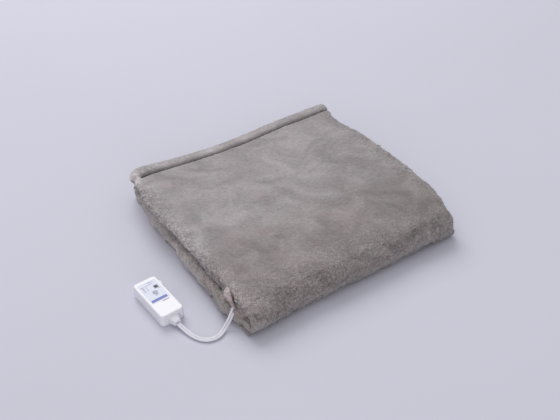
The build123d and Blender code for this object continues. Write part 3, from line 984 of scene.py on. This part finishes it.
def print_patch(name, x, y, width, length, material, corner=0.0):
    """A thin printed mark on the controller's face, in the controller's frame."""
    outline = patch_outline(width, length, min(corner, width / 2, length / 2))
    low = [(x + px, y + py, LABEL_TOP - PRINT_SINK) for px, py in outline]
    high = [(x + px, y + py, LABEL_TOP + PRINT_HEIGHT) for px, py in outline]
    points = [CASE_PLACE @ Vector(p) for p in low + high]
    patch = new_object(name, points, loft_faces(2, len(outline)), material, smooth_shaded=False)
    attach(patch, BASE)


def make_prints():
    """Generic marks: a level scale with its bars, short lines that stand for words, and a coloured band."""
    print_patch("print_scale_across", 1.0 * MM, 31.5 * MM, 14 * MM, 0.8 * MM, PRINT_GREY)
    print_patch("print_scale_down", -6.0 * MM, 25.0 * MM, 0.8 * MM, 13.8 * MM, PRINT_GREY)
    for level in range(5):
        y = (31.0 - 3.2 * level) * MM
        width = (5.2 - 0.7 * level) * MM
        print_patch(f"print_level_{level}", -11.8 * MM, y, width, 1.3 * MM, PRINT_GREY, 0.3 * MM)
    print_patch("print_mark_upper", 5.5 * MM, 35.6 * MM, 12 * MM, 1.0 * MM, PRINT_GREY, 0.3 * MM)
    print_patch("print_mark_lower", 12.4 * MM, 15.5 * MM, 4.5 * MM, 1.0 * MM, PRINT_GREY, 0.3 * MM)
    print_patch("print_timer_mark", 1.0 * MM, 2.2 * MM, 7 * MM, 0.9 * MM, PRINT_GREY, 0.3 * MM)
    print_patch("print_band", -1.0 * MM, -7.6 * MM, 29 * MM, 6.0 * MM, PRINT_BLUE, 0.8 * MM)
    print_patch("print_line", 6.5 * MM, -15.2 * MM, 13 * MM, 1.4 * MM, PRINT_GREY, 0.4 * MM)


# The cord bush in the controller's frame: (half width, half height) at its root and at its tip
BUSH_ROOT = (10.0 * MM, 8.0 * MM)
BUSH_TIP = (6.0 * MM, 4.5 * MM)
BUSH_ROOT_Y = -47.5 * MM
BUSH_LENGTH = 13 * MM
BUSH_Z = 9 * MM
BUSH_POWER = 0.62
# One rib's outline, as (along the bush, out from its side)
RIB_PROFILE = [
    (-0.75 * MM, -0.35 * MM),
    (-0.45 * MM, 0.30 * MM),
    (0.0, 0.50 * MM),
    (0.45 * MM, 0.30 * MM),
    (0.75 * MM, -0.35 * MM),
]


def make_bush_ribs():
    """Soft ribs round the cord bush, as on a moulded strain relief."""
    points = []
    faces = []
    angles = ring_angles(40)
    for rib in range(4):
        share = 0.20 + 0.22 * rib
        half_width = mix(BUSH_ROOT[0], BUSH_TIP[0], share)
        half_height = mix(BUSH_ROOT[1], BUSH_TIP[1], share)
        y = BUSH_ROOT_Y - BUSH_LENGTH * share
        base = len(points)
        for along, out in RIB_PROFILE:
            for a in angles:
                x = (half_width + out) * squared(math.cos(a), BUSH_POWER)
                z = BUSH_Z + (half_height + out) * squared(math.sin(a), BUSH_POWER)
                points.append(CASE_PLACE @ Vector((x, y + along, z)))
        faces += [tuple(base + index for index in face)
                  for face in loft_faces(len(RIB_PROFILE), len(angles))]
    ribs = new_object("bush_ribs", points, faces, CORD_WHITE)
    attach(ribs, BASE)


CAD_MATERIALS = {
    "controller_upper_case": WHITE,
    "controller_lower_case": WHITE,
    "face_label": LABEL,
    "slide_knob": WHITE,
    "slide_carriage": DARK,
    "slide_switch_body": DARK,
    "timer_button": BUTTON,
    "button_switch": DARK,
    "pilot_lamp_lens": LENS,
    "pilot_lamp": LAMP,
    "circuit_board": BOARD,
    "triac": DARK,
    "capacitor": CAPACITOR,
    "fuse": FUSE_GLASS,
    "control_chip": DARK,
    "terminal_block": TERMINAL,
    "case_screws": STEEL,
    "cord_bush": CORD_WHITE,
    "cord_clamp": DARK,
    "connector_block": CONNECTOR,
    "mains_lead_gland": CONNECTOR,
    "overheat_protector": DARK,
}


def paint_cad_nodes():
    """Materials for the CAD pieces that are shown as they are."""
    for name, material in CAD_MATERIALS.items():
        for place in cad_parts[name].material_slots:
            place.material = material


# ---- Floor and light ----
FLOOR_HALF_SIZE = 15.0
FLOOR_Z = -0.2 * MM


def make_floor():
    """A plain pale paper floor just under the throw."""
    material, nodes, links, shader = node_material("floor_paper")
    cloud = stretched_noise(nodes, links, 1.2, (1, 1, 1), 2.0)
    tone = colour_ramp(nodes, links, cloud.outputs["Fac"],
                       [(0.3, (0.590, 0.588, 0.668)), (0.7, (0.610, 0.608, 0.690))])
    links.new(tone.outputs["Color"], shader.inputs["Base Color"])
    shader.inputs["Roughness"].default_value = 0.85
    shader.inputs["Specular IOR Level"].default_value = 0.2
    grain = stretched_noise(nodes, links, 700, (1, 1, 1), 2.0)
    links.new(bump(nodes, links, grain.outputs["Fac"], 0.05, 0.2 * MM), shader.inputs["Normal"])
    size = FLOOR_HALF_SIZE
    corners = [(-size, -size, 0), (size, -size, 0), (size, size, 0), (-size, size, 0)]
    floor = new_object("floor", corners, [(0, 1, 2, 3)], material, smooth_shaded=False)
    floor.location.z = FLOOR_Z


def area_light(name, place, size, power):
    """A round soft light that faces the throw."""
    data = bpy.data.lights.new(name, "AREA")
    data.shape = "DISK"
    data.size = size
    data.energy = power
    light = bpy.data.objects.new(name, data)
    light.location = place
    light.rotation_mode = "QUATERNION"
    light.rotation_quaternion = (-Vector(place)).to_track_quat("-Z", "Y")
    bpy.context.scene.collection.objects.link(light)


def make_lights():
    """Soft light from behind and above, a weak fill from the front and an even pale surrounding."""
    area_light("key_light", (0.4, 2.8, 3.5), 3.4, 114)
    area_light("fill_light", (-1.6, -2.6, 1.1), 2.4, 19)
    area_light("top_light", (0.1, -0.2, 3.4), 2.8, 12)
    world = bpy.data.worlds.new("world")
    world.use_nodes = True
    background = world.node_tree.nodes["Background"]
    background.inputs["Color"].default_value = (0.95, 0.955, 1.0, 1)
    background.inputs["Strength"].default_value = 0.49
    bpy.context.scene.world = world
    bpy.context.scene.view_settings.view_transform = "Standard"


make_camera()
make_cord()
make_floor()
make_lights()
paint_cad_nodes()
make_throw()
make_sleeve()
make_stitches()
make_prints()
make_bush_ribs()
